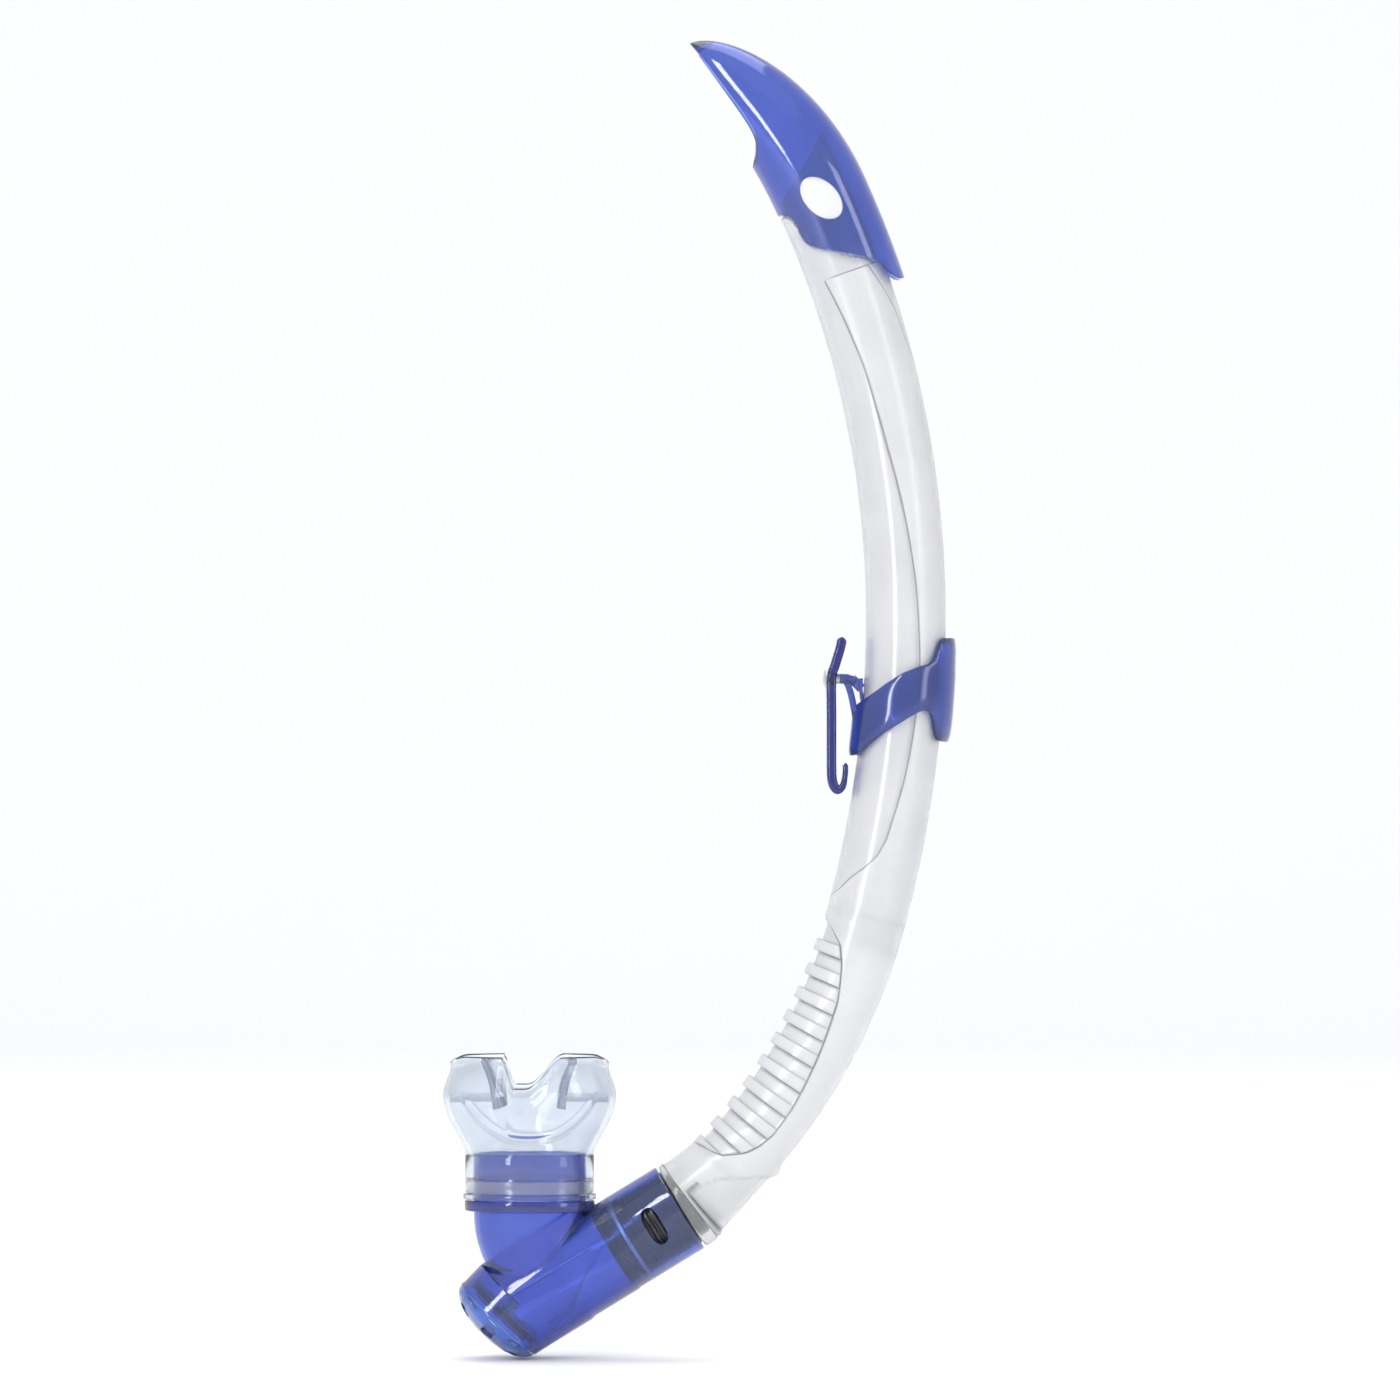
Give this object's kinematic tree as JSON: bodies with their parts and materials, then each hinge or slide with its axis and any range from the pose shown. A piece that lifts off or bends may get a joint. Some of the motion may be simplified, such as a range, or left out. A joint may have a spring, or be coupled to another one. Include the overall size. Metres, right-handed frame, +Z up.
{
  "type": "snorkel",
  "caption": "J-shaped semi-dry snorkel: clear curved barrel, splash guard, corrugated flexible section, swivelling purge chamber, silicone mouthpiece and strap keeper.",
  "frame": {"origin": "centre of the underside of the snorkel's bounding box", "axes": "+Z up along the barrel as worn, the J of the tube in the XZ plane with the mouthpiece towards -X, and the wide side of the chamber towards -Y and +Y alike"},
  "size_m": [0.161, 0.039, 0.4113],
  "materials": {
    "clear_tube": "clear, glossy",
    "clear_panel": "clear, soft sheen",
    "blue_clear": "translucent blue, glossy",
    "clear_silicone": "clear silicone, satin",
    "black_plastic": "black, satin",
    "seal_rubber": "matt black rubber",
    "spring_steel": "plain steel",
    "dark_blue": "dark blue, satin",
    "valve_silicone": "clear silicone, satin",
    "light_blue": "translucent light blue, glossy",
    "mouth_silicone": "clear silicone, glossy",
    "clear_tie": "clear nylon",
    "keeper_blue": "dark translucent blue, satin"
  },
  "bodies": {
    "barrel": {"barrel": "clear_tube", "back_panel": "clear_panel", "splash_guard": "blue_clear", "snap_button_near": "clear_tube", "snap_button_far": "clear_tube"},
    "lower_tube": {"flex_section": "clear_silicone", "flex_cuff": "clear_tube", "swivel_spigot": "black_plastic", "spigot_seal_upper": "seal_rubber", "spigot_seal_lower": "seal_rubber", "swivel_snap_ring": "spring_steel"},
    "mouth_unit": {"chamber": "blue_clear", "purge_valve_seat": "dark_blue", "purge_cover": "light_blue", "mouthpiece": "mouth_silicone", "mouthpiece_tie": "clear_tie"},
    "purge_valve": {"purge_valve_disc": "valve_silicone"},
    "keeper": {"keeper_ring": "keeper_blue", "hook_pivot_pin": "spring_steel"},
    "hook": {"strap_hook": "dark_blue"}
  },
  "joints": [
    {"name": "flex_bend", "type": "hinge", "parent": "barrel", "child": "lower_tube", "pos_m": [0.03396, 0, 0.09366], "axis": [0, 1, 0], "range_deg": [-12, 30], "stiffness_Nm_per_rad": 0.6, "deforming": ["flex_section"]},
    {"name": "mouth_swivel", "type": "hinge", "parent": "lower_tube", "child": "mouth_unit", "pos_m": [-0.00597, 0, 0.04611], "axis": [0.8536, 0, 0.521], "continuous": true},
    {"name": "purge_valve_lift", "type": "slide", "parent": "mouth_unit", "child": "purge_valve", "axis": [-0.6896, 0, -0.7242], "range_m": [0, 0.0015], "stiffness_N_per_m": 60},
    {"name": "keeper_slide", "type": "hinge", "parent": "barrel", "child": "keeper", "pos_m": [-0.2991, 0, 0.23058], "axis": [0, 1, 0], "range_deg": [-2, 5.5]},
    {"name": "hook_swivel", "type": "hinge", "parent": "keeper", "child": "hook", "pos_m": [0.04218, 0, 0.21098], "axis": [1, 0, 0], "range_deg": [-45, 45]}
  ]
}
